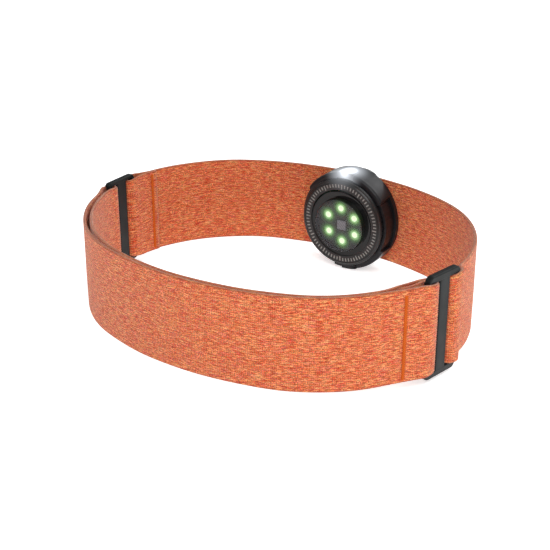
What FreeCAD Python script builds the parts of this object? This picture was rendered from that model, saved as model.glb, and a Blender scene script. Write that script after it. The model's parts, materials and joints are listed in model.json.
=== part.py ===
import FreeCAD, Part
import math
import os

V = FreeCAD.Vector

# ---------------------------------------------------------------- driving dimensions, mm

# Band: one length of elastic webbing, worn as a closed loop.
BAND_W = 28.5            # width of the webbing
BAND_T = 1.0             # thickness of one layer
LOOP_X = 61.4            # half length of the loop, to the webbing's outer face
LOOP_Y = 50.0            # half width of the loop
R_FLAT = 90.0            # radius of the flatter front and back arcs
LAYER_GAP = 0.1          # between the two layers of the front
LAYER_FREE = 0.9         # more gap where they stand apart, forward of the ring
LAP = 2.0                # webbing left past each row of stitches

# Strap slides: three bars between two flat rails with rounded corners.
ADJUSTER_LEN = 13.6      # along the band
ADJUSTER_H = 31.6        # across the band
RING_LEN = 12.6
RING_H = 30.0
SLIDE_T = 2.0
RAIL_CORNER = 0.9        # share of the rail's height that its corners are rounded by
MID_BAR = 4.6
SLOT_W = 2.5
BAR_AT = 5.8             # from the middle bar to where the webbing turns round an end bar
SLOT_HALF_H = 13.7       # the webbing is squeezed a little narrower where it passes the rails
ADJUSTER_ANGLE = 11.0    # where the adjuster sits, degrees forward of the loop's right end
RING_SHIFT = 0.8         # where the ring sits, forward of the loop's left end
ADJUSTER_SEAM = 13.6     # from the adjuster's middle bar to its row of stitches
RING_SEAM = 13.2         # the same at the ring
OVER_BAR = SLIDE_T / 2 + 0.15 + BAND_T / 2

# Sensor pod. Depths run from the band's inner face towards the middle of the loop.
POD_R = 14.925
POD_BACK = 3.2
POD_FACE = 10.8
POD_WALL = 0.95
DOME_R = 9.1
DOME_TOP = 12.7
WINDOW_R = 11.4
WINDOW_FACE = 10.3       # the window's rim lies a little below the face ring
OPTICS_Z = -0.45         # the optics sit a little below the pod's axis
LED_CIRCLE_R = 5.72
LED_SIZE = 1.7
LED_TURN = 33.5          # the first light's angle, degrees
LED_Z = -0.65
PHOTODIODE = 3.1
PHOTODIODE_Z = -0.85

# Power button in the pod's top.
BUTTON_W = 5.6
BUTTON_D0 = 4.9
BUTTON_D1 = 8.4
BUTTON_TOP_R = 16.9
LIGHT_R = 0.9

# Holder that carries the pod and slides along the band.
CRADLE_R = 15.9
CRADLE_IN_R = POD_R + 0.075
CRADLE_FRONT = 8.6
CROWN_R = 16.8
CROWN_FRONT = 9.0
CROWN_HALF_ANGLE = 57.0
SKIRT_START = -102.0     # the skirt's two ends, degrees round from the pod's right
SKIRT_END = -28.0
FLANGE_FRONT = 3.4       # step at the back of the cradle, as wide as the crown
SADDLE_HALF_W = 7.0
HOLDER_GAP = 0.3         # between the band and the holder's walls
PLATE_T = 1.6
PLATE_R = 15.0
LATCH_W = 5.7
LATCH_X = 2.2            # the latch sits a little to one side of the pod's axis
LATCH_R = 17.0

# The row's origin: middle of the bounding box, on the foot of the latch.
SHIFT = V(-0.07, -1.43, LATCH_R)

# ---------------------------------------------------------------- loop geometry

R_END = (R_FLAT ** 2 - (R_FLAT - LOOP_Y) ** 2 - LOOP_X ** 2) / (2 * (R_FLAT - LOOP_X))
ALPHA = math.acos((R_FLAT - LOOP_Y) / (R_FLAT - R_END))
HALF_FLAT = R_FLAT * ALPHA
END_ARC = R_END * (math.pi - 2 * ALPHA)
LOOP_LENGTH = 4 * HALF_FLAT + 2 * END_ARC
RIGHT_END = HALF_FLAT + END_ARC / 2
BAND_INNER_Y = LOOP_Y - BAND_T

S_ADJUSTER = RIGHT_END + R_END * math.radians(ADJUSTER_ANGLE)
S_RING = -RIGHT_END - RING_SHIFT


def station(s, offset):
    """Point on the loop, s mm clockwise from the middle of the back, offset mm outside it."""
    s = s % LOOP_LENGTH
    arcs = [
        (HALF_FLAT, R_FLAT, V(0, LOOP_Y - R_FLAT, 0), 0.0),
        (END_ARC, R_END, V(LOOP_X - R_END, 0, 0), ALPHA),
        (2 * HALF_FLAT, R_FLAT, V(0, R_FLAT - LOOP_Y, 0), math.pi - ALPHA),
        (END_ARC, R_END, V(R_END - LOOP_X, 0, 0), math.pi + ALPHA),
        (HALF_FLAT, R_FLAT, V(0, LOOP_Y - R_FLAT, 0), 2 * math.pi - ALPHA),
    ]
    for length, radius, centre, start in arcs:
        if s <= length:
            turn = start + s / radius
            reach = radius + offset
            return centre + V(reach * math.sin(turn), reach * math.cos(turn), 0)
        s -= length
    return station(0, offset)


def heading(s, direction):
    """Direction of travel along the loop at s; direction is 1 clockwise, -1 the other way."""
    ahead = station(s + 0.01, 0) - station(s - 0.01, 0)
    return ahead.normalize() * direction


def spline(points):
    """Smooth curve through points."""
    curve = Part.BSplineCurve()
    curve.interpolate(points)
    return curve


def level_sides(s0, s1, offset):
    """The two edges of a run that keeps one distance from the loop, as arcs, left side first."""
    direction = 1 if s1 > s0 else -1
    corners = [HALF_FLAT, HALF_FLAT + END_ARC, 3 * HALF_FLAT + END_ARC, 3 * HALF_FLAT + 2 * END_ARC]
    corners += [c - LOOP_LENGTH for c in corners]
    stops = [c for c in corners if min(s0, s1) < c < max(s0, s1)]
    stops = [s0] + sorted(stops, reverse=direction < 0) + [s1]
    sides = ([], [])
    for a, b in zip(stops, stops[1:]):
        for edges, side in zip(sides, (1, -1)):
            reach = offset + side * direction * BAND_T / 2
            arc = Part.Arc(station(a, reach), station((a + b) / 2, reach), station(b, reach))
            edges.append(arc.toShape())
    return sides


def weave_sides(way, joins_before, joins_after, step=0.7, lead=0.6):
    """The two edges of a run that weaves past the bars, through (s, offset) way points.

    Where it joins a level run, a short level lead keeps the join smooth.
    """
    points = [V(s, offset, 0) for s, offset in way]
    if joins_before:
        forward = math.copysign(lead, points[1].x - points[0].x)
        points.insert(1, points[0] + V(forward, 0, 0))
    if joins_after:
        back = math.copysign(lead, points[-2].x - points[-1].x)
        points.insert(-1, points[-1] + V(back, 0, 0))
    flat = spline(points)
    samples = flat.discretize(max(4, int(flat.length() / step)))
    middle = [station(p.x, p.y) for p in samples]
    start = (middle[1] - middle[0]).normalize()
    end = (middle[-1] - middle[-2]).normalize()
    if joins_before:
        start = heading(way[0][0], math.copysign(1, way[1][0] - way[0][0]))
    if joins_after:
        end = heading(way[-1][0], math.copysign(1, way[-1][0] - way[-2][0]))
    alongs = [start] + [(b - a).normalize() for a, b in zip(middle, middle[2:])] + [end]
    sides = []
    for side in (1, -1):
        rail = []
        for point, along in zip(middle, alongs):
            rail.append(point + V(-along.y, along.x, 0) * (side * BAND_T / 2))
        sides.append([spline(rail).toShape()])
    return sides


def webbing(parts):
    """One run of webbing from a chain of level parts (s0, s1, offset) and woven parts [(s, offset), ...]."""
    left = []
    right = []
    for i, part in enumerate(parts):
        if isinstance(part, tuple):
            sides = level_sides(*part)
        else:
            sides = weave_sides(part, i > 0, i < len(parts) - 1)
        left += sides[0]
        right += sides[1]
    caps = [
        Part.makeLine(left[0].Vertexes[0].Point, right[0].Vertexes[0].Point),
        Part.makeLine(left[-1].Vertexes[-1].Point, right[-1].Vertexes[-1].Point),
    ]
    outline = Part.Wire(Part.__sortEdges__(left + right + caps))
    face = Part.Face(outline)
    face.translate(V(0, 0, -BAND_W / 2))
    return face.extrude(V(0, 0, BAND_W))


def turn_round_bar(s_bar, toward_slot):
    """Way points over the outside of an end bar, up to the middle bar, and back under it."""
    k = toward_slot
    reach = BAR_AT - MID_BAR / 2 - 0.2 - BAND_T / 2
    return [
        (s_bar - 2.4 * k, OVER_BAR - 0.45),
        (s_bar - 0.9 * k, OVER_BAR),
        (s_bar + (reach - OVER_BAR) * k, OVER_BAR),
        (s_bar + (reach - 0.48) * k, 1.17),
        (s_bar + reach * k, 0.0),
        (s_bar + (reach - 0.48) * k, -1.17),
        (s_bar + (reach - OVER_BAR) * k, -OVER_BAR),
        (s_bar - 0.9 * k, -OVER_BAR),
    ]


# ---------------------------------------------------------------- shape helpers

def ring_sector(r0, r1, half_h, a0, a1):
    """Piece of an upright ring about Z, between two angles in degrees."""
    base = V(0, 0, -half_h)
    outer = Part.makeCylinder(r1, 2 * half_h, base, V(0, 0, 1), a1 - a0)
    inner = Part.makeCylinder(r0, 2 * half_h, base, V(0, 0, 1), a1 - a0)
    sector = outer.cut(inner)
    sector.rotate(V(0, 0, 0), V(0, 0, 1), a0)
    return sector


def disc(radius, d0, d1, x=0.0, z=0.0):
    """Cylinder along the pod's axis from depth d0 to depth d1."""
    return Part.makeCylinder(radius, d1 - d0, V(x, BAND_INNER_Y - d0, z), V(0, -1, 0))


def block(x0, x1, d0, d1, z0, z1):
    """Box in pod coordinates."""
    return Part.makeBox(x1 - x0, d1 - d0, z1 - z0, V(x0, BAND_INNER_Y - d1, z0))


def pod_wedge(radius, d0, d1, half_angle):
    """Sector of a disc about the pod's axis, centred on the top."""
    wedge = Part.makeCylinder(radius, d1 - d0, V(0, 0, 0), V(0, 0, 1), 2 * half_angle)
    wedge.rotate(V(0, 0, 0), V(0, 0, 1), 90 - half_angle)
    wedge.rotate(V(0, 0, 0), V(1, 0, 0), 90)
    wedge.translate(V(0, BAND_INNER_Y - d0, 0))
    return wedge


def upright_cylinder(radius):
    """Cylinder about the axis that the back of the loop bends round."""
    return Part.makeCylinder(radius, 80, V(0, LOOP_Y - R_FLAT, -40), V(0, 0, 1))


def on_crown_front(edge):
    """True for the crown's outer front edge and for the outer edges of its two ends."""
    for vertex in edge.Vertexes:
        if abs(math.hypot(vertex.X, vertex.Z) - CROWN_R) > 0.01:
            return False
    return edge.Length < 8 or edge.CenterOfMass.y < BAND_INNER_Y - CROWN_FRONT + 0.01


def on_front_rim(edge, depth):
    """True for the long outer edge that a wedge of the crown's radius has at a depth."""
    outer = all(math.hypot(v.X, v.Z) > CROWN_R - 0.1 for v in edge.Vertexes)
    return outer and edge.Length > 15 and edge.CenterOfMass.y < BAND_INNER_Y - depth + 0.01


def edges_along(shape, direction):
    """Straight edges parallel to a direction."""
    found = []
    for edge in shape.Edges:
        if edge.Curve.TypeId == "Part::GeomLine":
            if abs(edge.tangentAt(edge.FirstParameter).dot(direction)) > 0.999:
                found.append(edge)
    return found


# ---------------------------------------------------------------- strap slides

def on_loop_end(shape, s_mid):
    """Moves a shape made about the origin, facing X, to its place on one end of the loop."""
    turn = ALPHA + ((s_mid % LOOP_LENGTH) - HALF_FLAT) / R_END
    centre_x = LOOP_X - R_END
    if s_mid < 0:
        turn = -(ALPHA + (-s_mid - HALF_FLAT) / R_END)
        centre_x = -centre_x
    shape.rotate(V(0, 0, 0), V(0, 0, 1), 90 - math.degrees(turn))
    shape.translate(V(centre_x, 0, 0))
    return shape


def straight_rail(thickness, length, z0, z1):
    """Block along Y that stands where a slide's rail does, before it is placed."""
    return Part.makeBox(thickness, length, z1 - z0, V(R_END - thickness / 2, -length / 2, z0))


def strap_slide(s_mid, length, height):
    """Three-bar slide. The bars follow the end of the loop and the rails are straight."""
    half = math.degrees(length / 2 / R_END)
    a_mid = math.degrees(MID_BAR / 2 / R_END)
    a_end = a_mid + math.degrees(SLOT_W / R_END)
    pieces = []
    for a0, a1 in ((-half, -a_end), (-a_mid, a_mid), (a_end, half)):
        bar = ring_sector(R_END - SLIDE_T / 2, R_END + SLIDE_T / 2, SLOT_HALF_H + 0.25, a0, a1)
        pieces.append(bar.makeFillet(0.6, edges_along(bar, V(0, 0, 1))))
    rail_h = height / 2 - SLOT_HALF_H
    rail = straight_rail(SLIDE_T, length, SLOT_HALF_H, height / 2)
    top = [e for e in edges_along(rail, V(1, 0, 0)) if e.CenterOfMass.z > height / 2 - 0.01]
    rail = rail.makeFillet(RAIL_CORNER * rail_h, top)
    rail = rail.makeFillet(0.4, [e for e in rail.Edges if e not in edges_along(rail, V(1, 0, 0))])
    below = rail.mirror(V(0, 0, 0), V(0, 0, 1))
    pieces += [rail, below]
    return on_loop_end(pieces[0].fuse(pieces[1:]).removeSplitter(), s_mid)


def rail_rooms(s_mid, length):
    """The room that a slide's two rails take from the webbing's edges, with a little clearance."""
    rooms = []
    for z0, z1 in ((SLOT_HALF_H - 0.05, 20), (-20, 0.05 - SLOT_HALF_H)):
        rooms.append(on_loop_end(straight_rail(SLIDE_T + 0.08, length + 0.1, z0, z1), s_mid))
    return rooms


# ---------------------------------------------------------------- strap

def build_strap():
    s_adj = S_ADJUSTER
    outside = -BAND_T / 2
    inside = outside - BAND_T - LAYER_GAP
    pass_start = s_adj - 19.0
    pass_end = s_adj + 23.0
    s_ring_front = S_RING + LOOP_LENGTH
    outer_start = s_ring_front - 21.0

    # Back run, ending in the loop sewn round the ring's back bar.
    weave = [(S_RING + 16.0, outside), (S_RING + 13.0, outside + 0.15), (S_RING + 10.5, outside + 0.7)]
    weave += turn_round_bar(S_RING + BAR_AT, -1)
    weave += [(S_RING + 9.2, -1.4), (S_RING + RING_SEAM + LAP, -1.25)]
    back_run = webbing([(pass_start, weave[0][0], outside), weave])

    # Pass over the adjuster's near bar, down beside the middle bar, and under the far bar.
    under = -OVER_BAR - BAND_T - 0.15
    weave = [
        (s_adj - 10.8, outside),
        (s_adj - 9.6, outside + 0.15),
        (s_adj - 8.7, 0.35),
        (s_adj - 7.95, 1.2),
        (s_adj - 6.9, OVER_BAR + 0.03),
        (s_adj - 5.2, OVER_BAR),
        (s_adj - 4.05, 1.35),
        (s_adj - 3.35, 0.6),
        (s_adj - 3.05, -0.4),
        (s_adj - 2.55, -1.35),
        (s_adj - 1.2, -OVER_BAR - 0.05),
        (s_adj + 0.5, -OVER_BAR - 0.1),
        (s_adj + 2.2, -OVER_BAR - 0.4),
        (s_adj + 3.9, under + 0.1),
        (s_adj + BAR_AT, under),
        (s_adj + 9.5, under + 0.2),
        (s_adj + 14.5, inside - 0.8),
        (s_adj + 18.0, inside - 0.2),
        (s_adj + 21.0, inside),
    ]
    adjuster_pass = webbing([
        (pass_start, weave[0][0], outside),
        weave,
        (weave[-1][0], pass_end, inside),
    ])

    # Inner run of the front. It hangs a little free of the outer one as it nears the ring,
    # then turns round the ring's front bar.
    turn = turn_round_bar(s_ring_front - BAR_AT, 1)
    turn.reverse()
    weave = [
        (s_ring_front - 72.0, inside),
        (s_ring_front - 60.0, inside - 0.15),
        (s_ring_front - 46.0, inside - LAYER_FREE * 0.7),
        (s_ring_front - 32.0, inside - LAYER_FREE),
        (s_ring_front - 20.0, inside - LAYER_FREE * 0.7),
        (s_ring_front - 11.0, inside - 0.2),
    ]
    weave += turn
    weave += [(s_ring_front - 10.6, 0.3), (s_ring_front - 13.4, -0.3), (s_ring_front - 16.5, outside)]
    inner_run = webbing([
        (pass_end, weave[0][0], inside),
        weave,
        (weave[-1][0], outer_start, outside),
    ])

    # Outer run of the front, ending in the loop sewn round the adjuster's far bar.
    weave = [(s_adj + 19.0, outside), (s_adj + 16.0, outside + 0.2), (s_adj + 12.0, outside + 0.8)]
    weave += turn_round_bar(s_adj + BAR_AT, -1)
    weave += [
        (s_adj + 9.2, -1.0),
        (s_adj + ADJUSTER_SEAM, -0.85),
        (s_adj + ADJUSTER_SEAM + LAP, -1.05),
    ]
    outer_run = webbing([(outer_start, weave[0][0], outside), weave])
    rooms = rail_rooms(S_ADJUSTER, ADJUSTER_LEN) + rail_rooms(S_RING, RING_LEN)
    return [run.cut(rooms) for run in (back_run, adjuster_pass, inner_run, outer_run)]


def stitch_row(s, offset, slope):
    """Row of thread bars lying on the webbing's face, which rises by slope degrees along the loop."""
    bars = []
    count = 12
    pitch = 25.0 / count
    spot = station(s, offset)
    outward = station(s, offset + 1) - spot
    angle = math.degrees(math.atan2(outward.y, outward.x)) + slope
    for i in range(count):
        z = -12.5 + pitch * (i + 0.5)
        bar = Part.makeBox(0.24, 0.9, 1.7, V(-0.12, -0.45, z - 0.85))
        bar.rotate(V(0, 0, 0), V(0, 0, 1), angle)
        bar.translate(spot)
        bars.append(bar)
    return Part.makeCompound(bars)


# ---------------------------------------------------------------- holder

def build_holder():
    wall = disc(CRADLE_R, -1, CRADLE_FRONT)
    flange = disc(CROWN_R, -1, FLANGE_FRONT).cut(block(-20, 20, -5, 20, -20, -16.5))
    latch_x0 = LATCH_X - LATCH_W / 2
    latch_x1 = LATCH_X + LATCH_W / 2
    flange = flange.cut(block(latch_x0 - 0.15, latch_x1 + 0.15, -5, 20, -20, -15.9))
    # A skirt as thick as the crown runs along the bottom, on both sides of the latch.
    skirt = pod_wedge(CROWN_R, -1, CRADLE_FRONT, (SKIRT_END - SKIRT_START) / 2)
    skirt.rotate(V(0, 0, 0), V(0, -1, 0), (SKIRT_START + SKIRT_END) / 2 - 90)
    skirt = skirt.makeFillet(0.5, [e for e in skirt.Edges if on_front_rim(e, CRADLE_FRONT)])
    skirt = skirt.cut(block(-20, 20, -5, 20, -20, -16.5))
    skirt = skirt.cut(block(latch_x0 - 0.15, latch_x1 + 0.15, -5, 20, -20, -15.9))
    crown = pod_wedge(CROWN_R, 1.9, CROWN_FRONT, CROWN_HALF_ANGLE)
    crown = crown.makeFillet(1.0, [e for e in crown.Edges if on_crown_front(e)])
    # The saddle passes over the webbing's top edge, narrowing and falling away towards the back.
    back_y = BAND_INNER_Y + BAND_T + HOLDER_GAP + PLATE_T + 0.95
    saddle_low = BAND_W / 2 + HOLDER_GAP
    plan = Part.makePolygon([
        V(-SADDLE_HALF_W, BAND_INNER_Y - 4.0, saddle_low),
        V(-SADDLE_HALF_W, BAND_INNER_Y - 0.4, saddle_low),
        V(-5.6, BAND_INNER_Y + 1.6, saddle_low),
        V(-3.6, back_y, saddle_low),
        V(0.8, back_y, saddle_low),
        V(3.8, BAND_INNER_Y + 2.2, saddle_low),
        V(6.0, BAND_INNER_Y + 0.8, saddle_low),
        V(SADDLE_HALF_W, BAND_INNER_Y - 0.2, saddle_low),
        V(SADDLE_HALF_W, BAND_INNER_Y - 4.0, saddle_low),
        V(-SADDLE_HALF_W, BAND_INNER_Y - 4.0, saddle_low),
    ])
    saddle = Part.Face(plan).extrude(V(0, 0, 5))
    cone_h = back_y - BAND_INNER_Y + 0.2
    dome = Part.makeCone(CROWN_R - 0.1, 15.05, cone_h, V(0, BAND_INNER_Y - 0.2, 0), V(0, 1, 0))
    saddle = saddle.common(dome.fuse(disc(CROWN_R - 0.1, 0.2, 4.0)))
    lip = block(-3.2, 0.5, BAND_INNER_Y - back_y, BAND_INNER_Y - back_y + 0.9, 12.9, saddle_low + 0.3)
    # The floor follows the band, so everything but the saddle stays inside the band's face.
    keep = upright_cylinder(R_FLAT - BAND_T - HOLDER_GAP)
    body = wall.fuse([flange, crown, skirt]).common(keep)
    body = body.fuse([saddle, lip])
    body = body.cut(disc(CRADLE_IN_R, POD_BACK - 0.1, 30))
    notch_half = BUTTON_W / 2 + 0.3
    body = body.cut(block(-notch_half, notch_half, BUTTON_D0 - 0.3, 30, 13, 20))
    # The wall stops short where the latch hooks over its front edge.
    body = body.cut(block(latch_x0 - 0.1, latch_x1 + 0.1, CRADLE_FRONT - 0.9, 30, -20, -10))
    cradle = body.removeSplitter()

    outer = upright_cylinder(R_FLAT + HOLDER_GAP + PLATE_T)
    inner = upright_cylinder(R_FLAT + HOLDER_GAP)
    shell = outer.cut(inner)
    plate_shape = disc(PLATE_R, -8, 0)
    top_clear = block(-20, 20, -10, 5, saddle_low - 0.05, 20)
    plate = shell.common(plate_shape)
    rim = [e for e in plate.Edges if e.CenterOfMass.y > BAND_INNER_Y - 20 and e.Length > 60]
    rim.sort(key=lambda e: e.CenterOfMass.y)
    plate = plate.makeFillet(0.6, [rim[-1]]).cut(top_clear)
    plate = plate.cut(block(-20, 20, -10, 5, -20, -14.2))
    plate_back = -BAND_T - HOLDER_GAP - PLATE_T
    hook_d = CRADLE_FRONT - 0.9
    latch = disc(LATCH_R, plate_back, hook_d + 0.75)
    latch = latch.common(block(latch_x0, latch_x1, plate_back, hook_d + 0.75, -20, -15.95))
    sides = [e for e in edges_along(latch, V(0, 1, 0)) if e.CenterOfMass.z < -16]
    latch = latch.makeFillet(0.25, sides)
    heel = block(latch_x0, latch_x1, plate_back + 0.1, plate_back + 1.6, -16.1, -13.0)
    heel = heel.cut(inner)
    hook = block(latch_x0, latch_x1, hook_d + 0.05, hook_d + 0.75, -16.1, -15.1)
    hook = hook.common(disc(16.1, 0, 20))
    plate = plate.fuse([latch, heel, hook]).removeSplitter()
    return cradle, plate


# ---------------------------------------------------------------- sensor pod

def build_pod():
    pod = {}
    seat = POD_FACE - 0.85
    case = disc(POD_R, POD_BACK, seat)
    rim = [e for e in case.Edges if abs(e.CenterOfMass.y - (BAND_INNER_Y - POD_BACK)) < 0.01]
    case = case.makeFillet(1.2, [e for e in rim if e.Length > 50])
    lip_edge = [e for e in case.Edges if e.Length > 90 and e.CenterOfMass.y < BAND_INNER_Y - seat + 0.01]
    case = case.makeChamfer(0.25, lip_edge)
    case = case.cut(disc(POD_R - POD_WALL, POD_BACK + POD_WALL, 20))
    hole = block(-BUTTON_W / 2 - 0.06, BUTTON_W / 2 + 0.06, BUTTON_D0 - 0.06, BUTTON_D1 + 0.06, 12, 18)
    case = case.cut(hole)
    pins = []
    for i in range(4):
        x = -3.75 + 2.5 * i
        case = case.cut(disc(0.75, 0, 5, x, -9.5))
        pins.append(disc(0.7, POD_BACK + 0.02, POD_BACK + 1.2, x, -9.5))
    pod["sensor_case"] = case
    pod["charging_contacts"] = Part.makeCompound(pins)

    bezel = disc(POD_R, seat + 0.02, POD_FACE).cut(disc(WINDOW_R + 0.05, 0, 20, 0, OPTICS_Z))
    face_rim = [e for e in bezel.Edges if e.Length > 90 and e.CenterOfMass.y < BAND_INNER_Y - POD_FACE + 0.01]
    bezel = bezel.makeFillet(0.4, face_rim)
    lip = disc(POD_R - POD_WALL - 0.05, 9.0, seat + 0.1).cut(disc(13.15, 0, 20))
    pod["front_ring"] = bezel.fuse(lip).removeSplitter()
    pod["case_seal"] = disc(13.85, 8.5, 8.95).cut(disc(13.2, 0, 20))

    window = disc(WINDOW_R, seat, WINDOW_FACE, 0, OPTICS_Z)
    dome = disc(DOME_R, seat, DOME_TOP, 0, OPTICS_Z)
    top = [e for e in dome.Edges if abs(e.CenterOfMass.y - (BAND_INNER_Y - DOME_TOP)) < 0.01]
    dome = dome.makeFillet(0.7, [e for e in top if e.Length > 30])
    pod["optical_window"] = window.fuse(dome).removeSplitter()

    baffle = disc(10.3, 8.55, seat - 0.05, 0, OPTICS_Z)
    leds = []
    for i in range(6):
        turn = math.radians(LED_TURN + 60 * i)
        x = LED_CIRCLE_R * math.cos(turn)
        z = LED_Z + LED_CIRCLE_R * math.sin(turn)
        baffle = baffle.cut(disc(1.45, 0, 20, x, z))
        h = LED_SIZE / 2
        leds.append(block(x - h, x + h, 8.55, 9.45, z - h, z + h))
    half = PHOTODIODE / 2
    slot_z0 = PHOTODIODE_Z - half - 0.3
    slot_z1 = PHOTODIODE_Z + half + 0.3
    baffle = baffle.cut(block(-half - 0.3, half + 0.3, 8, 12, slot_z0, slot_z1))
    pod["light_baffle"] = baffle
    pod["green_leds"] = Part.makeCompound(leds)
    pod["photodiode"] = block(-half, half, 8.55, 9.5, PHOTODIODE_Z - half, PHOTODIODE_Z + half)
    pod["optics_board"] = disc(10.8, 8.0, 8.5)

    board = disc(12.9, 6.6, 7.2).cut(block(-20, 20, 0, 20, 10.6, 20))
    pod["main_board"] = board
    pod["processor"] = block(-7.0, -2.0, 7.25, 7.95, -3.0, 2.0)
    pod["board_connector"] = block(2.5, 8.0, 7.25, 7.95, -1.2, 1.2)
    cell = block(-9.0, 9.0, 4.5, 6.3, -7.5, 5.5)
    cell = cell.makeFillet(0.8, edges_along(cell, V(0, 1, 0)))
    pod["battery"] = cell
    pod["battery_pad"] = block(-7.0, 7.0, POD_BACK + POD_WALL + 0.02, 4.45, -5.5, 3.5)
    antenna = Part.makeCylinder(13.7, 1.0, V(0, 0, 0), V(0, 0, 1), 110)
    antenna = antenna.cut(Part.makeCylinder(13.2, 1.0, V(0, 0, 0), V(0, 0, 1), 110))
    antenna.rotate(V(0, 0, 0), V(0, 0, 1), 215)
    antenna.rotate(V(0, 0, 0), V(1, 0, 0), 90)
    antenna.translate(V(0, BAND_INNER_Y - 6.4, 0))
    pod["antenna"] = antenna
    pod["button_switch"] = block(1.3, 4.1, 5.2, 7.2, 10.7, 12.05)
    pod["status_led"] = block(-0.6, 0.6, 5.6, 6.8, 10.7, 11.5)
    return pod


def build_button():
    half = BUTTON_W / 2
    cap = block(-half, half, BUTTON_D0, BUTTON_D1, 13.5, 18)
    cap = cap.common(disc(BUTTON_TOP_R, 0, 20))
    flange = block(-half - 0.6, half + 0.6, BUTTON_D0 - 0.6, BUTTON_D1 + 0.05, 12.5, 18)
    flange = flange.common(disc(POD_R - POD_WALL - 0.15, 0, 20))
    leg = Part.makeCylinder(0.5, 0.4, V(2.6, BAND_INNER_Y - 6.2, 12.85), V(0, 0, 1))
    hole = Part.makeCylinder(LIGHT_R, 12, V(0, BAND_INNER_Y - 6.2, 10), V(0, 0, 1))
    cap = cap.fuse([flange, leg]).cut(hole).removeSplitter()
    light = Part.makeCylinder(LIGHT_R - 0.03, 12, V(0, BAND_INNER_Y - 6.2, 12.6), V(0, 0, 1))
    light = light.common(disc(BUTTON_TOP_R, 0, 20))
    return cap, light


# ---------------------------------------------------------------- assembly

def main():
    nodes = {}
    runs = build_strap()
    names = ("strap_back_run", "strap_adjuster_pass", "strap_inner_run", "strap_outer_run")
    for name, shape in zip(names, runs):
        nodes[name] = shape
    nodes["strap_adjuster"] = strap_slide(S_ADJUSTER, ADJUSTER_LEN, ADJUSTER_H)
    nodes["strap_loop_ring"] = strap_slide(S_RING, RING_LEN, RING_H)
    nodes["adjuster_stitches"] = stitch_row(S_ADJUSTER + ADJUSTER_SEAM, 0.75, -14)
    nodes["ring_stitches"] = stitch_row(S_RING + RING_SEAM, -1.8, 0)
    nodes["holder_cradle"], nodes["holder_back_plate"] = build_holder()
    nodes.update(build_pod())
    nodes["power_button"], nodes["button_light_window"] = build_button()

    os.makedirs("parts", exist_ok=True)
    whole = FreeCAD.BoundBox()
    for name, shape in nodes.items():
        shape.translate(SHIFT)
        shape.exportStep("parts/" + name + ".step")
        box = shape.optimalBoundingBox(False, False)
        whole.add(box)
        print(name, "valid", shape.isValid(), "volume", round(shape.Volume, 2))
    print("box x", round(whole.XMin, 3), round(whole.XMax, 3), "y", round(whole.YMin, 3), round(whole.YMax, 3),
          "z", round(whole.ZMin, 3), round(whole.ZMax, 3))
    print("end arc radius", round(R_END, 3), "alpha", round(math.degrees(ALPHA), 3), "length", round(LOOP_LENGTH, 2))


main()
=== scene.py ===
import json
import math

import bmesh
import bpy
import numpy as np
from mathutils import Matrix, Vector


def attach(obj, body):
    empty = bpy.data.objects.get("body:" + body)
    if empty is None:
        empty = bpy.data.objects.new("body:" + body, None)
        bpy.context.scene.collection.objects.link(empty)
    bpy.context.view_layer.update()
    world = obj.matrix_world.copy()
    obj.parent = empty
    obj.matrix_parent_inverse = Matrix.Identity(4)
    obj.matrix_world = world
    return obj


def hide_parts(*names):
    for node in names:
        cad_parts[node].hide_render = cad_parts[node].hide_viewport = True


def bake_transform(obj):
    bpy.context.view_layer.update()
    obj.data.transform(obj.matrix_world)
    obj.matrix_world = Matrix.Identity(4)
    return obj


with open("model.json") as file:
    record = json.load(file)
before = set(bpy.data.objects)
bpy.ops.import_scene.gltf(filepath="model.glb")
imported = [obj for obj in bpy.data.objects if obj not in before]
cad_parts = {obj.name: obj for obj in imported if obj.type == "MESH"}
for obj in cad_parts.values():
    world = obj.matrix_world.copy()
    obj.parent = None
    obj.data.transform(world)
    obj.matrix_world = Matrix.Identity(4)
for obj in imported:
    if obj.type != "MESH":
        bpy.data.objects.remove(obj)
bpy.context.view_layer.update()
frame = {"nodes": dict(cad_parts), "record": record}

# ---------------------------------------------------------------- dimensions, mm, as in the CAD source

MM = 0.001
SHIFT = np.array([-0.07, -1.43, 17.0])

BAND_W = 28.5
BAND_T = 1.0
LOOP_X = 61.4
LOOP_Y = 50.0
R_FLAT = 90.0
R_END = (R_FLAT ** 2 - (R_FLAT - LOOP_Y) ** 2 - LOOP_X ** 2) / (2 * (R_FLAT - LOOP_X))
ALPHA = math.acos((R_FLAT - LOOP_Y) / (R_FLAT - R_END))
HALF_FLAT = R_FLAT * ALPHA
END_ARC = R_END * (math.pi - 2 * ALPHA)
LOOP_LENGTH = 4 * HALF_FLAT + 2 * END_ARC
RIGHT_END = HALF_FLAT + END_ARC / 2
BAND_INNER_Y = LOOP_Y - BAND_T

SLIDE_T = 2.0
MID_BAR = 4.6
BAR_AT = 5.8
OVER_BAR = SLIDE_T / 2 + 0.15 + BAND_T / 2
S_ADJUSTER = RIGHT_END + R_END * math.radians(11.0)
S_RING = -RIGHT_END - 0.8
S_RING_FRONT = S_RING + LOOP_LENGTH
SLIDES_AT = (S_ADJUSTER, S_RING, S_RING_FRONT)
ADJUSTER_SEAM = 13.6
RING_SEAM = 13.2
LAP = 2.0
LAYER_GAP = 0.1
LAYER_FREE = 0.9

POD_R = 14.925
POD_FACE = 10.8
SEAT = POD_FACE - 0.85
WINDOW_R = 11.4
WINDOW_FACE = 10.3
DOME_R = 9.1
DOME_TOP = 12.7
OPTICS_Z = -0.45
OPTICS_AT = 10.35
LED_CIRCLE_R = 5.72
LED_TURN = 33.5
LED_Z = -0.65
PHOTODIODE = 3.1
PHOTODIODE_Z = -0.85
LIGHT_AT = (0.0, BAND_INNER_Y - 6.2, 16.9)

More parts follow.
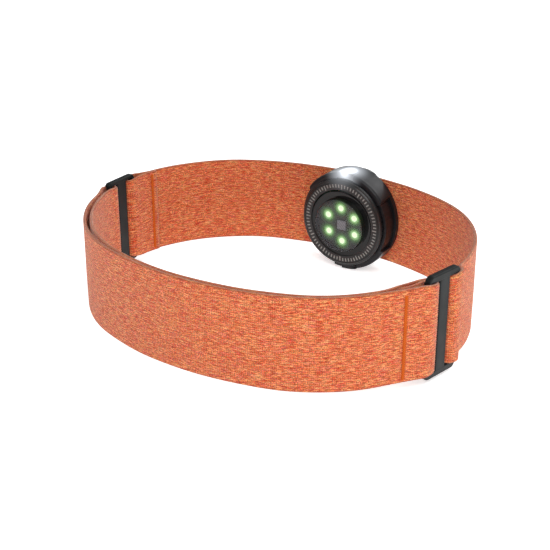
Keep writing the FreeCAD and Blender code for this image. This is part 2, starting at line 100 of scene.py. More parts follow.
# How finely the pieces are built.
FINE_STEP = 0.42
COARSE_STEP = 1.3
FINE_REACH = 15.0
DENSE_POINTS = 6000
LEVEL_STEP = 5.0
FACE_COLUMNS = 160
EDGE_STEPS = 6
CORNER_STEPS = 5
LATHE_SEGMENTS = 180
LENS_SEGMENTS = 36
STATUS_SEGMENTS = 40
THREAD_SIDES = 7
SHARP_ANGLE = math.radians(38)


def row(p):
    """A point of the loop's own frame, mm, in the row frame, m."""
    return (np.asarray(p, float) + SHIFT) * MM


def station(s, offset):
    """Plan points on the loop, s mm clockwise from the middle of the back, offset mm outside it."""
    s = np.mod(np.asarray(s, float), LOOP_LENGTH)
    offset = np.broadcast_to(np.asarray(offset, float), s.shape)
    x = np.zeros_like(s)
    y = np.zeros_like(s)
    begin = 0.0
    arcs = [
        (HALF_FLAT, R_FLAT, (0.0, LOOP_Y - R_FLAT), 0.0),
        (END_ARC, R_END, (LOOP_X - R_END, 0.0), ALPHA),
        (2 * HALF_FLAT, R_FLAT, (0.0, R_FLAT - LOOP_Y), math.pi - ALPHA),
        (END_ARC, R_END, (R_END - LOOP_X, 0.0), math.pi + ALPHA),
        (HALF_FLAT + 1e-6, R_FLAT, (0.0, LOOP_Y - R_FLAT), 2 * math.pi - ALPHA),
    ]
    for length, radius, centre, start in arcs:
        here = (s >= begin) & (s < begin + length)
        turn = start + (s - begin) / radius
        x = np.where(here, centre[0] + (radius + offset) * np.sin(turn), x)
        y = np.where(here, centre[1] + (radius + offset) * np.cos(turn), y)
        begin += length
    return np.stack([x, y], -1)


# ---------------------------------------------------------------- small helpers

def new_mesh(name, verts, faces, smooth=True):
    mesh = bpy.data.meshes.new(name)
    mesh.from_pydata([tuple(v) for v in verts], [], [tuple(f) for f in faces])
    mesh.validate()
    if smooth:
        mesh.polygons.foreach_set("use_smooth", [True] * len(mesh.polygons))
    obj = bpy.data.objects.new(name, mesh)
    bpy.context.scene.collection.objects.link(obj)
    return obj


def set_material(obj, material):
    obj.data.materials.clear()
    obj.data.materials.append(material)


def swept_faces(rows, cols):
    """Faces of a closed section of cols points swept through rows places, capped at both ends."""
    faces = []
    for i in range(rows - 1):
        for j in range(cols):
            k = (j + 1) % cols
            faces.append((i * cols + j, i * cols + k, (i + 1) * cols + k, (i + 1) * cols + j))
    faces.append(tuple(range(cols))[::-1])
    faces.append(tuple((rows - 1) * cols + j for j in range(cols)))
    return faces


def stacked_faces(rings, segments, base=0):
    """Faces of a stack of rings from vertex base on, closed by a point on top and a face below."""
    faces = []
    for j in range(rings - 1):
        low = base + j * segments
        high = low + segments
        for i in range(segments):
            k = (i + 1) % segments
            faces.append((low + i, low + k, high + k, high + i))
    top = base + (rings - 1) * segments
    peak = base + rings * segments
    faces += [(top + i, top + (i + 1) % segments, peak) for i in range(segments)]
    faces.append(tuple(base + i for i in range(segments))[::-1])
    return faces


def face_outwards(obj):
    """Turns every face's normal outwards."""
    bm = bmesh.new()
    bm.from_mesh(obj.data)
    bmesh.ops.recalc_face_normals(bm, faces=bm.faces)
    bm.to_mesh(obj.data)
    bm.free()


def slide_nearness(s, reach):
    """1 where the webbing passes a slide, fading to 0 about reach mm away."""
    near = np.zeros_like(s)
    for mid in SLIDES_AT:
        near = np.maximum(near, np.exp(-((s - mid) / reach) ** 4))
    return near


def smooth_way(points):
    """Points along a smooth curve through (s, offset) way points, close together near the slides."""
    p = np.asarray(points, float)
    chord = np.sqrt(np.linalg.norm(np.diff(p, axis=0), axis=1))
    t = np.concatenate([[0], np.cumsum(chord)])
    n = len(p)
    h = np.diff(t)
    a = np.zeros((n, n))
    b = np.zeros((n, 2))
    a[0, 0] = a[-1, -1] = 1
    for i in range(1, n - 1):
        a[i, i - 1] = h[i - 1]
        a[i, i] = 2 * (h[i - 1] + h[i])
        a[i, i + 1] = h[i]
        b[i] = 6 * ((p[i + 1] - p[i]) / h[i] - (p[i] - p[i - 1]) / h[i - 1])
    m = np.linalg.solve(a, b)
    dense = np.linspace(0, t[-1], DENSE_POINTS)
    k = np.clip(np.searchsorted(t, dense, side="right") - 1, 0, n - 2)
    u = (dense - t[k])[:, None]
    v = (t[k + 1] - dense)[:, None]
    hk = h[k][:, None]
    out = (m[k] * v ** 3 + m[k + 1] * u ** 3) / (6 * hk)
    out += (p[k] / hk - m[k] * hk / 6) * v + (p[k + 1] / hk - m[k + 1] * hk / 6) * u
    step = COARSE_STEP + (FINE_STEP - COARSE_STEP) * slide_nearness(out[:, 0], FINE_REACH)
    length = np.linalg.norm(np.diff(out, axis=0), axis=1)
    run = np.concatenate([[0], np.cumsum(length / step[1:])])
    count = max(3, int(round(run[-1])))
    at = np.linspace(0, run[-1], count + 1)
    return np.stack([np.interp(at, run, out[:, i]) for i in range(2)], -1)


def lathe(name, profile, z0=0.0):
    """Turns a closed (radius, depth) outline, mm, about the pod's axis."""
    verts = []
    ring_of = []
    for r, d in profile:
        if r < 1e-6:
            ring_of.append([len(verts)])
            verts.append(row((0, BAND_INNER_Y - d, z0)))
            continue
        ring_of.append(list(range(len(verts), len(verts) + LATHE_SEGMENTS)))
        for i in range(LATHE_SEGMENTS):
            a = 2 * math.pi * i / LATHE_SEGMENTS
            verts.append(row((r * math.cos(a), BAND_INNER_Y - d, z0 + r * math.sin(a))))
    faces = []
    for one, two in zip(ring_of, ring_of[1:] + ring_of[:1]):
        if len(one) == 1 and len(two) == 1:
            continue
        for i in range(LATHE_SEGMENTS):
            k = (i + 1) % LATHE_SEGMENTS
            if len(one) == 1:
                faces.append((one[0], two[i], two[k]))
            elif len(two) == 1:
                faces.append((one[i], two[0], one[k]))
            else:
                faces.append((one[i], two[i], two[k], one[k]))
    obj = new_mesh(name, verts, faces)
    face_outwards(obj)
    obj.data.set_sharp_from_angle(angle=SHARP_ANGLE)
    return obj


def rounded(corners):
    """Outline with its corners rounded. Each corner is (r, d, radius)."""
    out = []
    n = len(corners)
    for i, (r, d, radius) in enumerate(corners):
        here = np.array([r, d])
        if radius == 0:
            out.append((r, d))
            continue
        before = np.array(corners[i - 1][:2]) - here
        after = np.array(corners[(i + 1) % n][:2]) - here
        before /= np.linalg.norm(before)
        after /= np.linalg.norm(after)
        for j in range(CORNER_STEPS + 1):
            u = j / CORNER_STEPS
            q = here + before * radius * (1 - u) ** 2 + after * radius * u ** 2
            out.append((float(q[0]), float(q[1])))
    return out


# ---------------------------------------------------------------- node helpers

class Nodes:
    """Builds a node material with short calls."""

    def __init__(self, name):
        self.mat = bpy.data.materials.new(name)
        self.mat.use_nodes = True
        self.tree = self.mat.node_tree
        self.tree.nodes.clear()
        self.out = self.tree.nodes.new("ShaderNodeOutputMaterial")
        self.bsdf = self.tree.nodes.new("ShaderNodeBsdfPrincipled")
        self.tree.links.new(self.bsdf.outputs[0], self.out.inputs[0])

    def put(self, socket, value):
        if isinstance(value, bpy.types.NodeSocket):
            self.tree.links.new(value, socket)
        elif isinstance(value, (tuple, list)) and len(value) == 3 and socket.type == "RGBA":
            socket.default_value = (*value, 1)
        else:
            socket.default_value = value

    def shader(self, **values):
        for key, value in values.items():
            self.put(self.bsdf.inputs[key.replace("_", " ")], value)

    def node(self, kind, output=0, props=None, **inputs):
        n = self.tree.nodes.new(kind)
        for key, value in (props or {}).items():
            setattr(n, key, value)
        for key, value in inputs.items():
            key = int(key[1:]) if key[0] == "i" and key[1:].isdigit() else key.replace("_", " ")
            self.put(n.inputs[key], value)
        return n.outputs[output]

    def math(self, op, a, b=0.0, c=0.0, clamp=False):
        return self.node("ShaderNodeMath", 0, {"operation": op, "use_clamp": clamp}, i0=a, i1=b, i2=c)

    def vmath(self, op, a, b=(0, 0, 0), output=0):
        return self.node("ShaderNodeVectorMath", output, {"operation": op}, i0=a, i1=b)

    def mix(self, factor, a, b, kind="MIX"):
        n = self.tree.nodes.new("ShaderNodeMix")
        n.data_type = "RGBA"
        n.blend_type = kind
        self.put(n.inputs[0], factor)
        self.put(n.inputs[6], a)
        self.put(n.inputs[7], b)
        return n.outputs[2]

    def ramp(self, value, *stops):
        n = self.tree.nodes.new("ShaderNodeValToRGB")
        while len(n.color_ramp.elements) < len(stops):
            n.color_ramp.elements.new(0.5)
        for element, (at, colour) in zip(n.color_ramp.elements, stops):
            element.position = at
            element.color = (*colour, 1)
        self.put(n.inputs[0], value)
        return n.outputs[0]

    def smooth(self, value, low, high, to_low=0.0, to_high=1.0):
        n = self.tree.nodes.new("ShaderNodeMapRange")
        n.interpolation_type = "SMOOTHSTEP"
        for i, v in enumerate((value, low, high, to_low, to_high)):
            self.put(n.inputs[i], v)
        return n.outputs[0]

    def split(self, vector):
        n = self.tree.nodes.new("ShaderNodeSeparateXYZ")
        self.put(n.inputs[0], vector)
        return n.outputs[0], n.outputs[1], n.outputs[2]

    def fixed(self, **values):
        """Sets constants on the shader's own sockets."""
        for key, value in values.items():
            self.bsdf.inputs[key.replace("_", " ")].default_value = value

    def noise(self, vector, scale, detail=2.0, rough=0.5):
        return self.node(
            "ShaderNodeTexNoise", 0, Vector=vector, Scale=scale, Detail=detail, Roughness=rough)

    def bump(self, height, distance, strength):
        n = self.tree.nodes.new("ShaderNodeBump")
        self.put(n.inputs["Height"], height)
        self.put(n.inputs["Distance"], distance)
        self.put(n.inputs["Strength"], strength)
        return n.outputs[0]

    def tree_coord(self, which):
        n = self.tree.nodes.new("ShaderNodeTexCoord")
        return n.outputs[which]

    def grey(self, value, tint=(1.0, 1.0, 1.0)):
        """One value as a colour, each channel scaled by the tint."""
        parts = [value if share == 1.0 else self.math("MULTIPLY", value, share) for share in tint]
        return self.node("ShaderNodeCombineColor", 0, Red=parts[0], Green=parts[1], Blue=parts[2])

    def stain(self, colour, mask, strength, tone):
        """Mixes a tone into the colour where the mask says, up to the given strength."""
        return self.mix(self.math("MULTIPLY", mask, strength), colour, tone)


# ---------------------------------------------------------------- materials

def srgb(r, g, b):
    """Linear colour from 0-255 screen values."""
    def line(c):
        c /= 255.0
        return c / 12.92 if c <= 0.04045 else ((c + 0.055) / 1.055) ** 2.4
    return (line(r), line(g), line(b))


# The knit, metres: courses lie side by side across the band, loops follow each other along it.
COURSE_PITCH = 0.0004
LOOP_PITCH = 0.00055
LOOP_SLANT = 0.0001
YARN_WANDER = 0.0016


def webbing_material():
    """Heathered knitted elastic. UV is in metres: u along the band, v across it."""
    n = Nodes("webbing_heather")
    flat = n.vmath("MULTIPLY", n.tree_coord("UV"), (1.0, 1.0, 0.0))
    # The yarn's dye changes along its length, so short streaks of colour lie along the band.
    wander = n.noise(n.vmath("MULTIPLY", flat, (90.0, 90.0, 0)), 1.0, 2.0)
    drift = n.node("ShaderNodeCombineXYZ", 0, X=0.0, Y=wander, Z=0.0)
    lean = n.vmath("ADD", flat, n.vmath("MULTIPLY", drift, (0, YARN_WANDER, 0)))

    def streaks(along, across, detail=2.0, rough=0.6, shift=None):
        """Noise stretched along the band. along and across are its cells to the metre."""
        place = n.vmath("MULTIPLY", lean, (along, across, 0))
        if shift:
            place = n.vmath("ADD", place, shift)
        return n.noise(place, 1.0, detail, rough)

    long_streaks = streaks(230.0, 2700.0, 3.0)
    short_streaks = streaks(560.0, 3400.0)
    tint_streaks = streaks(250.0, 2100.0, shift=(31.0, 17.0, 0))
    dark_streaks = streaks(400.0, 3200.0, shift=(7.0, 61.0, 0))
    clouds = n.noise(n.vmath("MULTIPLY", flat, (70.0, 160.0, 0)), 1.0, 2.0)
    base = n.ramp(
        long_streaks,
        (0.40, srgb(186, 50, 30)),
        (0.46, srgb(208, 80, 50)),
        (0.50, srgb(226, 120, 76)),
        (0.54, srgb(234, 150, 98)),
        (0.60, srgb(246, 192, 132)),
    )
    fleck = n.ramp(
        short_streaks,
        (0.40, srgb(164, 60, 38)),
        (0.47, srgb(212, 96, 62)),
        (0.53, srgb(234, 138, 92)),
        (0.61, srgb(250, 192, 132)),
    )
    colour = n.mix(0.5, base, fleck)
    colour = n.stain(colour, n.smooth(tint_streaks, 0.53, 0.63), 0.55, srgb(222, 112, 106))
    colour = n.stain(colour, n.smooth(tint_streaks, 0.46, 0.37), 0.5, srgb(228, 152, 84))
    colour = n.stain(colour, n.smooth(dark_streaks, 0.54, 0.62), 0.75, srgb(204, 58, 40))
    colour = n.stain(colour, n.smooth(dark_streaks, 0.42, 0.33), 0.3, srgb(164, 104, 66))
    colour = n.mix(n.smooth(clouds, 0.35, 0.75, 0.0, 0.22), colour, srgb(212, 92, 60))

    # Painted shade in the knit's regular loops, and the uneven yarn's tone in streaks along the band
    # and fine specks, darken the colour.
    u, v, _ = n.split(flat)
    course = n.math("SINE", n.math("MULTIPLY", v, 2 * math.pi / COURSE_PITCH))
    slant = n.math("ADD", u, n.math("MULTIPLY", course, LOOP_SLANT))
    loops = n.math("SINE", n.math("MULTIPLY", slant, 2 * math.pi / LOOP_PITCH))
    knit = n.math("MULTIPLY_ADD", loops, 0.45, n.math("MULTIPLY", course, 0.55))
    yarn = streaks(700.0, 4300.0)
    speckle = streaks(2600.0, 4600.0, 1.0, 0.5)
    yarn_share, speckle_share = 3.6, 4.6
    uneven = n.math(
        "ADD", n.math("MULTIPLY", yarn, yarn_share), n.math("MULTIPLY", speckle, speckle_share))
    centred = n.math("SUBTRACT", uneven, (yarn_share + speckle_share) / 2)
    relief = n.math("MULTIPLY_ADD", knit, 0.45, centred)
    shade = n.smooth(relief, -1.1, 1.1, 0.40, 1.46)
    colour = n.mix(1.0, colour, n.grey(shade, (0.99, 0.93, 0.86)), "MULTIPLY")
    # The edges show the duller core yarn, with a line of painted shade in the crease where face and
    # edge meet.
    edge = n.node("ShaderNodeAttribute", "Fac", {"attribute_name": "edge"})
    colour = n.mix(n.smooth(edge, 0.25, 0.8, 0.0, 0.7), colour, srgb(172, 112, 86))
    painted_crease_shade = n.math("MULTIPLY", n.smooth(edge, 0.02, 0.12), n.smooth(edge, 0.6, 0.25))
    colour = n.stain(colour, painted_crease_shade, 0.55, srgb(120, 62, 46))

    fuzz = n.noise(n.vmath("MULTIPLY", flat, (3500.0, 5200.0, 0)), 1.0, 3.0, 0.7)
    height = n.math("MULTIPLY_ADD", fuzz, 0.9, n.math("MULTIPLY", knit, 0.6))
    height = n.math("MULTIPLY_ADD", long_streaks, 0.8, height)
    n.shader(Base_Color=colour, Roughness=0.88, Normal=n.bump(height, 0.00014, 1.0))
    n.fixed(
        Sheen_Weight=0.6, Sheen_Roughness=0.26, Sheen_Tint=(1.0, 0.88, 0.82, 1),
        Specular_IOR_Level=0.15)
    return n.mat


# Painted spill of the status light on the surfaces round it, mm: where its middle lies from the light,
# and how far it reaches.
GLOW_SHIFT = (-0.5, 0.5, 0.0)
GLOW_STRETCH = (3.3, 3.6, 3.5)
GLOW_TINT = (0.88, 0.93, 1.0)
HOLDER_SPILL = 0.55
RING_SPILL = 0.45


def painted_status_glow(n, at, spill):
    """Painted glow of the status light on a surface, as emission colour: a bright middle in a soft
    surround.
    """
    centre = tuple(row(np.array(LIGHT_AT) + GLOW_SHIFT))
    away = n.vmath("SUBTRACT", at, centre)
    away = n.vmath("MULTIPLY", away, tuple(1 / stretch for stretch in GLOW_STRETCH))
    reach = n.vmath("LENGTH", away, output=1)
    middle = n.math("POWER", n.smooth(reach, 0.00125, 0.00045), 1.5)
    surround = n.math("POWER", n.smooth(reach, 0.0029, 0.0006), 2.0)
    lit = n.math("MULTIPLY_ADD", surround, spill, middle, clamp=True)
    tint = n.node("ShaderNodeCombineColor", 0, Red=GLOW_TINT[0], Green=GLOW_TINT[1], Blue=GLOW_TINT[2])
    return n.mix(1.0, tint, n.grey(lit), "MULTIPLY")


def moulded_material(
        name, dark, light, roughness, grain=0.00002, grain_scale=2600.0, painted_glow=0.0, **fixed):
    """Moulded plastic with a fine spark-eroded grain, slight tone drift and softly varied gloss, and,
    when asked, the status light's glow painted on as emission.
    """
    n = Nodes(name)
    at = n.tree_coord("Object")
    drift = n.noise(at, 60.0, 3.0)
    fine = n.noise(at, grain_scale, 3.0, 0.6)
    colour = n.mix(n.smooth(drift, 0.3, 0.7), dark, light)
    colour = n.mix(n.smooth(fine, 0.45, 0.8, 0.0, 0.25), colour, light)
    # Handled edges are rubbed a little paler.
    worn = n.smooth(n.node("ShaderNodeNewGeometry", "Pointiness"), 0.52, 0.62)
    rubbed = tuple(min(1.0, c * 2.2 + 0.01) for c in light)
    colour = n.stain(colour, worn, 0.35, rubbed)
    rough = n.smooth(n.noise(at, 300.0, 4.0), 0.3, 0.7, roughness - 0.05, roughness + 0.06)
    n.shader(Base_Color=colour, Roughness=rough, Normal=n.bump(fine, grain, 0.6))
    n.fixed(**fixed)
    # Painted glow of the status light, emitted by the plastic round it.
    if painted_glow:
        n.shader(Emission_Color=painted_status_glow(n, at, HOLDER_SPILL))
        n.fixed(Emission_Strength=painted_glow)
    return n.mat


def thread_material():
    n = Nodes("sewing_thread")
    at = n.tree_coord("Object")
    twist = n.node(
        "ShaderNodeTexWave", 1, {"bands_direction": "DIAGONAL"}, Vector=at, Scale=900.0, Distortion=1.5)
    drift = n.noise(at, 900.0, 2.0)
    colour = n.mix(twist, srgb(186, 78, 3), srgb(214, 100, 8))
    colour = n.mix(n.smooth(drift, 0.4, 0.7, 0.0, 0.5), colour, srgb(196, 84, 5))
    n.shader(Base_Color=colour, Roughness=0.6, Normal=n.bump(twist, 0.00004, 0.8))
    n.fixed(Sheen_Weight=0.05, Specular_IOR_Level=0.2)
    return n.mat


def led_spots():
    """The six lights' places on the pod, row frame, metres, at the depth where they are seen."""
    spots = []
    for i in range(6):
        turn = math.radians(LED_TURN + 60 * i)
        x = LED_CIRCLE_R * math.cos(turn)
        z = LED_Z + LED_CIRCLE_R * math.sin(turn)
        spots.append(tuple(row((x, BAND_INNER_Y - OPTICS_AT, z))))
    return spots


def optics_material(name, dark, light, strength):
    """Dark potting with the six green lights' glow painted on as emission, each light with a halo that
    fades out.
    """
    n = Nodes(name)
    at = n.tree_coord("Object")
    # Painted glow: a halo round each green light's place, fading with distance from it.
    nearest = None
    for spot in led_spots():
        away = n.vmath("DISTANCE", at, spot, output=1)
        nearest = away if nearest is None else n.math("SMOOTH_MIN", nearest, away, 0.0004)
    scaled = n.math("MULTIPLY", nearest, 1 / 0.004)
    painted_glow = n.ramp(
        scaled,
        (0.00, (0.86, 1.0, 0.74)),
        (0.24, (0.78, 1.0, 0.62)),
        (0.32, (0.44, 0.80, 0.30)),
        (0.42, (0.15, 0.38, 0.09)),
        (0.54, (0.05, 0.14, 0.03)),
        (0.72, (0.015, 0.04, 0.01)),
        (0.95, (0.003, 0.006, 0.002)),
    )
    fine = n.noise(at, 1800.0, 3.0, 0.6)
    cloudy = n.noise(at, 260.0, 2.0)
    colour = n.mix(n.smooth(cloudy, 0.3, 0.7), dark, light)
    n.shader(Base_Color=colour, Roughness=0.55, Emission_Color=painted_glow, Normal=n.bump(fine, 0.000004, 0.3))
    n.fixed(Emission_Strength=strength)
    return n.mat


def dome_material():
    """Smoke-tinted clear window over the optics: grey on its flat top, painted near black as shade
    round its side.
    """
    n = Nodes("window_smoke")
    at = n.tree_coord("Object")
    _, y, _ = n.split(at)
    top_y = float(row((0, BAND_INNER_Y - DOME_TOP, 0))[1])
    top = n.smooth(y, top_y + 0.0006, top_y + 0.0002)
    smears = n.noise(at, 180.0, 3.0)
    film = n.mix(n.smooth(smears, 0.3, 0.7), srgb(76, 76, 82), srgb(86, 86, 92))
    # Painted shade: the dome's side is coloured near black and left more opaque, the flat top grey.
    colour = n.mix(top, srgb(8, 8, 9), film)
    alpha = n.smooth(top, 0.0, 1.0, 0.8, 0.34)
    n.shader(Base_Color=colour, Roughness=n.smooth(smears, 0.3, 0.7, 0.10, 0.16), Alpha=alpha)
    n.fixed(Coat_Weight=0.3, Coat_Roughness=0.05, Specular_IOR_Level=0.3)
    return n.mat


# The scale on the face ring: how many ticks, and their radii, metres.
TICKS = 72.0
LONG_TICKS = 12.0
TICK_TOP = 0.01345
TICK_FOOT = 0.01235
LONG_TICK_FOOT = 0.0119


def ring_material():
    """Dark face ring with a plain scale of fine printed ticks, a glossier bead at its rim, and the
    status light's glow painted on as emission.
    """
    n = Nodes("ring_plastic")
    at = n.tree_coord("Object")
    centred = n.vmath("SUBTRACT", at, tuple(row((0, 0, 0))))
    x, _, z = n.split(centred)
    radius = n.math("SQRT", n.math("ADD", n.math("MULTIPLY", x, x), n.math("MULTIPLY", z, z)))
    turn = n.math("DIVIDE", n.math("ARCTAN2", z, x), 2 * math.pi)
    fine = n.noise(at, 2600.0, 3.0, 0.6)
    drift = n.noise(at, 60.0, 3.0)
    colour = n.mix(n.smooth(drift, 0.3, 0.7), srgb(32, 32, 32), srgb(42, 42, 42))
    # Ticks every five degrees; each sixth one is longer.
    def beat_of(ticks):
        """0 in the middle between two ticks, 0.5 on a tick."""
        phase = n.math("FRACT", n.math("MULTIPLY", turn, ticks))
        return n.math("ABSOLUTE", n.math("SUBTRACT", phase, 0.5))

    beat = beat_of(TICKS)
    long_beat = beat_of(LONG_TICKS)
    tick = n.smooth(beat, 0.28, 0.36)
    inner = n.smooth(n.smooth(long_beat, 0.44, 0.45), 0.0, 1.0, TICK_FOOT, LONG_TICK_FOOT)
    within = n.math("LESS_THAN", radius, TICK_TOP)
    band = n.math("MULTIPLY", n.math("GREATER_THAN", radius, inner), within)
    print_wear = n.smooth(n.noise(at, 900.0, 2.0), 0.3, 0.6, 0.45, 0.8)
    ink = n.math("MULTIPLY", n.math("MULTIPLY", tick, band), print_wear)
    colour = n.mix(ink, colour, srgb(150, 150, 146))
    bead = n.smooth(radius, 0.0138, 0.0140)
    rough = n.smooth(bead, 0.0, 1.0, 0.46, 0.24)
    n.shader(Base_Color=colour, Roughness=rough, Normal=n.bump(fine, 0.00002, 0.6))
    # Painted glow of the status light, spilling onto the ring.
    n.shader(Emission_Color=painted_status_glow(n, at, RING_SPILL))
    n.fixed(Emission_Strength=0.8, Specular_IOR_Level=0.3)
    return n.mat


def board_material(name, mask, copper):
    """Circuit board: solder mask over tracks, with plated pads."""
    n = Nodes(name)
    at = n.tree_coord("Object")
    cells = n.node("ShaderNodeTexVoronoi", 0, Vector=at, Scale=700.0)
    tracks = n.node("ShaderNodeTexBrick", 1, Vector=at, Scale=420.0)
    colour = n.mix(n.smooth(tracks, 0.2, 0.8, 0.0, 0.5), mask, tuple(c * 1.6 for c in mask))
    colour = n.mix(n.smooth(cells, 0.12, 0.08), colour, copper)
    n.shader(Base_Color=colour, Roughness=0.4, Normal=n.bump(cells, 0.00003, 0.5))
    return n.mat


def metal_material(name, colour, roughness, scale):
    """Plated or brushed metal with fine scratches."""
    n = Nodes(name)
    at = n.tree_coord("Object")
    scratch = n.noise(n.vmath("MULTIPLY", at, (1.0, 1.0, 14.0)), scale, 4.0, 0.7)
    rough = n.smooth(scratch, 0.3, 0.7, roughness - 0.08, roughness + 0.12)
    shade = n.mix(n.smooth(scratch, 0.3, 0.7), colour, tuple(c * 0.8 for c in colour))
    n.shader(Base_Color=shade, Roughness=rough, Normal=n.bump(scratch, 0.00001, 0.4))
    n.fixed(Metallic=1.0)
    return n.mat


def photodiode_material():
    """Polished chip with a fine grid of cells, seen through the window, lightened by a faint painted
    glow.
    """
    n = Nodes("photodiode_chip")
    at = n.tree_coord("Object")
    x, _, z = n.split(at)
    bars = n.math("SINE", n.math("MULTIPLY", n.math("ADD", x, z), 2 * math.pi / 0.0011))
    lines = n.math("SINE", n.math("MULTIPLY", x, 2 * math.pi / 0.00042))
    tone = n.smooth(n.math("MULTIPLY_ADD", lines, 0.3, bars), -1.2, 1.2)
    colour = n.mix(tone, srgb(98, 98, 104), srgb(142, 142, 148))
    n.shader(Base_Color=colour, Roughness=0.35, Normal=n.bump(lines, 0.00001, 0.4))
    # Painted glow: a faint emission lightens the chip.
    n.fixed(Emission_Color=(0.10, 0.105, 0.11, 1), Emission_Strength=0.35)
    return n.mat


def lens_material(name, colour, strength):
    """Small lit lens with a faint speckle."""
    n = Nodes(name)
    at = n.tree_coord("Object")
    speck = n.noise(at, 2500.0, 2.0)
    lit = n.mix(n.smooth(speck, 0.3, 0.7, 0.0, 0.25), colour, tuple(c * 0.85 for c in colour))
    n.shader(Base_Color=lit, Roughness=0.3, Emission_Color=lit)
    n.fixed(Emission_Strength=strength)
    return n.mat


CHARCOAL = (srgb(15, 19, 19), srgb(21, 25, 25))
BLACK = (srgb(15, 15, 17), srgb(22, 22, 24))
SATIN_BLACK = (srgb(22, 22, 24), srgb(30, 30, 33))
LOOKS = {
    "webbing": webbing_material(),
    "slide_plastic": moulded_material("slide_plastic", *CHARCOAL, 0.44, Specular_IOR_Level=0.2),
    "thread": thread_material(),
    "holder_plastic": moulded_material(
        "holder_plastic", *SATIN_BLACK, 0.34, painted_glow=1.2, Specular_IOR_Level=0.22),
    "case_plastic": moulded_material("case_plastic", *BLACK, 0.26, painted_glow=0.5, Specular_IOR_Level=0.25),
    "ring_plastic": ring_material(),
    "gold_contact": metal_material("gold_contact", (0.82, 0.6, 0.28), 0.3, 1500.0),
    "seal_rubber": moulded_material("seal_rubber", srgb(40, 40, 42), srgb(58, 58, 60), 0.7),
    "dark_window": moulded_material(
        "dark_window", srgb(7, 7, 8), srgb(11, 11, 12), 0.1, grain=0.000001, Specular_IOR_Level=0.3),
    "baffle_plastic": optics_material("baffle_plastic", srgb(24, 24, 26), srgb(34, 34, 37), 1.0),
    "green_led": lens_material("green_led", (0.74, 1.0, 0.60), 1.15),
    "photodiode_chip": photodiode_material(),
    "circuit_board": board_material("circuit_board", (0.01, 0.09, 0.03), (0.7, 0.45, 0.2)),
    "chip_package": moulded_material("chip_package", srgb(28, 28, 30), srgb(40, 40, 42), 0.5),
    "connector_plastic": moulded_material(
        "connector_plastic", srgb(190, 184, 168), srgb(214, 208, 194), 0.45),
    "cell_foil": metal_material("cell_foil", (0.72, 0.73, 0.75), 0.38, 900.0),
    "foam_pad": moulded_material("foam_pad", srgb(36, 36, 38), srgb(62, 62, 64), 0.92, 0.00012, 3200.0),
    "antenna_metal": metal_material("antenna_metal", (0.8, 0.5, 0.3), 0.32, 1400.0),
    "white_led": lens_material("white_led", (0.95, 0.97, 1.0), 2.0),
    "button_plastic": moulded_material(
        "button_plastic", *SATIN_BLACK, 0.34, painted_glow=1.2, Specular_IOR_Level=0.22),
    "light_window": lens_material("light_window", (0.93, 0.96, 1.0), 2.0),
}
DOME = dome_material()

for part in frame["record"]["subparts"]:
    set_material(frame["nodes"][part["node"]], LOOKS[part["material_slot"]])


def finish_piece(obj, slot, body=None, *nodes, look=None):
    """Gives a piece the look of its slot or the given look, parents it to the body it rides on, and
    hides the CAD nodes it stands for.
    """
    set_material(obj, look or LOOKS[slot])
    if body:
        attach(obj, body)
    if nodes:
        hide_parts(*nodes)


# ---------------------------------------------------------------- strap paths, (s, offset) in mm

OUTSIDE = -BAND_T / 2
INSIDE = OUTSIDE - BAND_T - LAYER_GAP
SLOT_REACH = BAR_AT - MID_BAR / 2 - 0.2 - BAND_T / 2


def turn_round_bar(s_bar, k):
    """Over the outside of an end bar, up to the middle bar, and back under it."""
    return [
        (s_bar - 2.4 * k, OVER_BAR - 0.45),
        (s_bar - 0.9 * k, OVER_BAR),
        (s_bar + (SLOT_REACH - OVER_BAR) * k, OVER_BAR),
        (s_bar + (SLOT_REACH - 0.48) * k, 1.17),
        (s_bar + SLOT_REACH * k, 0.0),
        (s_bar + (SLOT_REACH - 0.48) * k, -1.17),
        (s_bar + (SLOT_REACH - OVER_BAR) * k, -OVER_BAR),
        (s_bar - 0.9 * k, -OVER_BAR),
    ]


def level(s0, s1, offset):
    """Evenly spaced way points at one offset."""
    count = max(2, int(abs(s1 - s0) / LEVEL_STEP))
    return [(s0 + (s1 - s0) * i / count, offset) for i in range(count + 1)]


def back_way():
    """From the flap sewn at the ring, round the back, to under the adjuster's middle bar."""
    way = turn_round_bar(S_RING + BAR_AT, -1)
    way += [(S_RING + 9.2, -1.4), (S_RING + RING_SEAM + LAP, -1.25)]
    way.reverse()
    way += [(S_RING + 10.5, OUTSIDE + 0.7), (S_RING + 13.0, OUTSIDE + 0.15)]
    way += level(S_RING + 16.0, S_ADJUSTER - 10.8, OUTSIDE)
    s = S_ADJUSTER
    way += [
        (s - 9.6, OUTSIDE + 0.15), (s - 8.7, 0.35), (s - 7.95, 1.2), (s - 6.9, OVER_BAR + 0.03),
        (s - 5.2, OVER_BAR), (s - 4.05, 1.35), (s - 3.35, 0.6), (s - 3.05, -0.4), (s - 2.55, -1.35),
        (s - 1.2, -OVER_BAR - 0.05), (s + 0.5, -OVER_BAR - 0.1),
    ]
    return way


def inner_way():
    """From under the adjuster's middle bar, along the inside of the front, to the fold at the ring."""
    s = S_ADJUSTER
    under = -OVER_BAR - BAND_T - 0.15
    way = [
        (s + 0.5, -OVER_BAR - 0.1), (s + 2.2, -OVER_BAR - 0.4), (s + 3.9, under + 0.1),
        (s + BAR_AT, under), (s + 9.5, under + 0.2), (s + 14.5, INSIDE - 0.8), (s + 18.0, INSIDE - 0.2),
    ]
    f = S_RING_FRONT
    way += level(s + 21.0, f - 72.0, INSIDE)
    way += [
        (f - 60.0, INSIDE - 0.15), (f - 46.0, INSIDE - LAYER_FREE * 0.7),
        (f - 32.0, INSIDE - LAYER_FREE), (f - 20.0, INSIDE - LAYER_FREE * 0.7),
        (f - 11.0, INSIDE - 0.2),
    ]
    turn = turn_round_bar(f - BAR_AT, 1)
    turn.reverse()
    return way + turn[:4]


